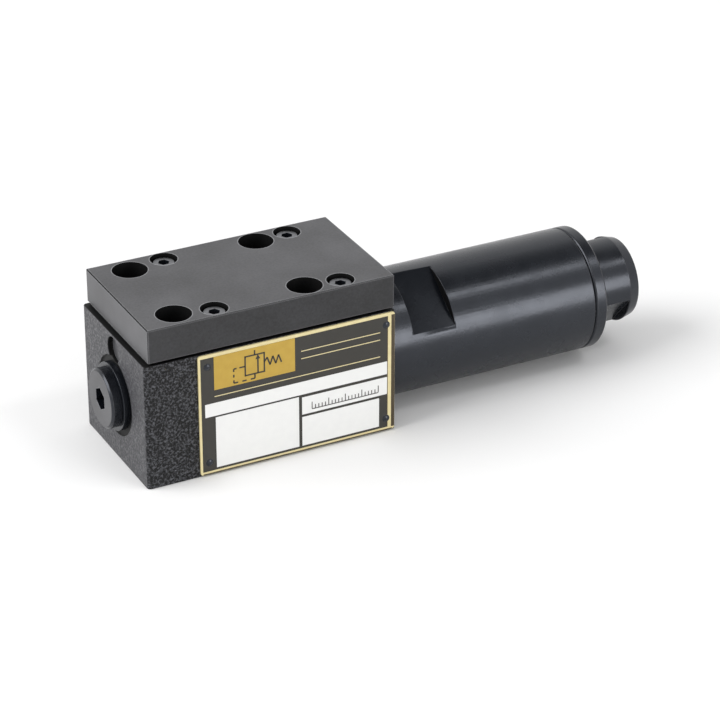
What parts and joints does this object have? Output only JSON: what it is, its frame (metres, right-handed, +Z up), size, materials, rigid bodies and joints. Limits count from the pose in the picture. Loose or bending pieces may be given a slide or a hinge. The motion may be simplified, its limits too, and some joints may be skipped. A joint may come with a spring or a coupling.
{
  "type": "hydraulic sandwich valve",
  "caption": "Black cast hydraulic valve body with a bolted cover plate on top, a riveted nameplate in front and a long round spring housing with an adjusting screw under a cap.",
  "frame": {"origin": "centre of the four mounting bolts on the mounting face", "axes": "+X along the spool to the spring housing, +Y to the back, +Z up from the mounting face"},
  "size_m": [0.1733, 0.0456, 0.0505],
  "materials": {
    "cast_body": "rough cast surface under semi-gloss black paint",
    "ground_plate": "ground and blackened steel, satin",
    "black_oxide_steel": "turned steel with satin black oxide",
    "bright_steel": "ground bright steel",
    "seal_rubber": "moulded nitrile rubber",
    "nameplate_foil": "printed aluminium with gold, dark and white fields"
  },
  "bodies": {
    "valve": {"valve_body": "cast_body", "cover_plate": "ground_plate", "cover_screws": "black_oxide_steel", "cover_plate_seals": "seal_rubber", "port_seal_p": "seal_rubber", "port_seal_a": "seal_rubber", "port_seal_b": "seal_rubber", "port_seal_t": "seal_rubber", "end_plug": "black_oxide_steel", "end_plug_seal": "black_oxide_steel", "drilling_plug": "black_oxide_steel", "main_spring": "bright_steel", "spring_housing": "black_oxide_steel", "housing_seal": "seal_rubber", "end_cover": "black_oxide_steel", "end_cover_seal": "seal_rubber", "adjusting_screw_seal": "seal_rubber", "lock_nut": "bright_steel", "nameplate": "nameplate_foil", "nameplate_rivets": "black_oxide_steel"},
    "spool_group": {"spool": "bright_steel", "inner_spring_seat": "bright_steel"},
    "outer_seat": {"outer_spring_seat": "bright_steel"},
    "adjuster": {"adjusting_screw": "bright_steel"},
    "cap_ring": {"cap_seal": "seal_rubber"},
    "cap": {"protective_cap": "black_oxide_steel"}
  },
  "joints": [
    {"name": "spool_slide", "type": "slide", "parent": "valve", "child": "spool_group", "axis": [1, 0, 0], "range_m": [0, 0.004], "stiffness_N_per_m": 6000, "springref_m": -0.002, "deforming": ["main_spring"]},
    {"name": "seat_travel", "type": "slide", "parent": "valve", "child": "outer_seat", "axis": [-1, 0, 0], "range_m": [0, 0.005], "deforming": ["main_spring"]},
    {"name": "adjuster_turn", "type": "hinge", "parent": "outer_seat", "child": "adjuster", "pos_m": [0.115, 0, 0.02], "axis": [-1, 0, 0], "range_deg": [0, 1441], "deforming": ["main_spring"]},
    {"name": "cap_travel", "type": "slide", "parent": "valve", "child": "cap_ring", "axis": [1, 0, 0], "range_m": [0, 0.0045]},
    {"name": "cap_turn", "type": "hinge", "parent": "cap_ring", "child": "cap", "pos_m": [0.128, 0, 0.02], "axis": [1, 0, 0], "range_deg": [0, 1081]}
  ],
  "couplings": [
    {"joint": "adjuster_turn", "follows": "seat_travel", "rad_per_m": 5026.5},
    {"joint": "cap_turn", "follows": "cap_travel", "rad_per_m": 4188.8}
  ]
}
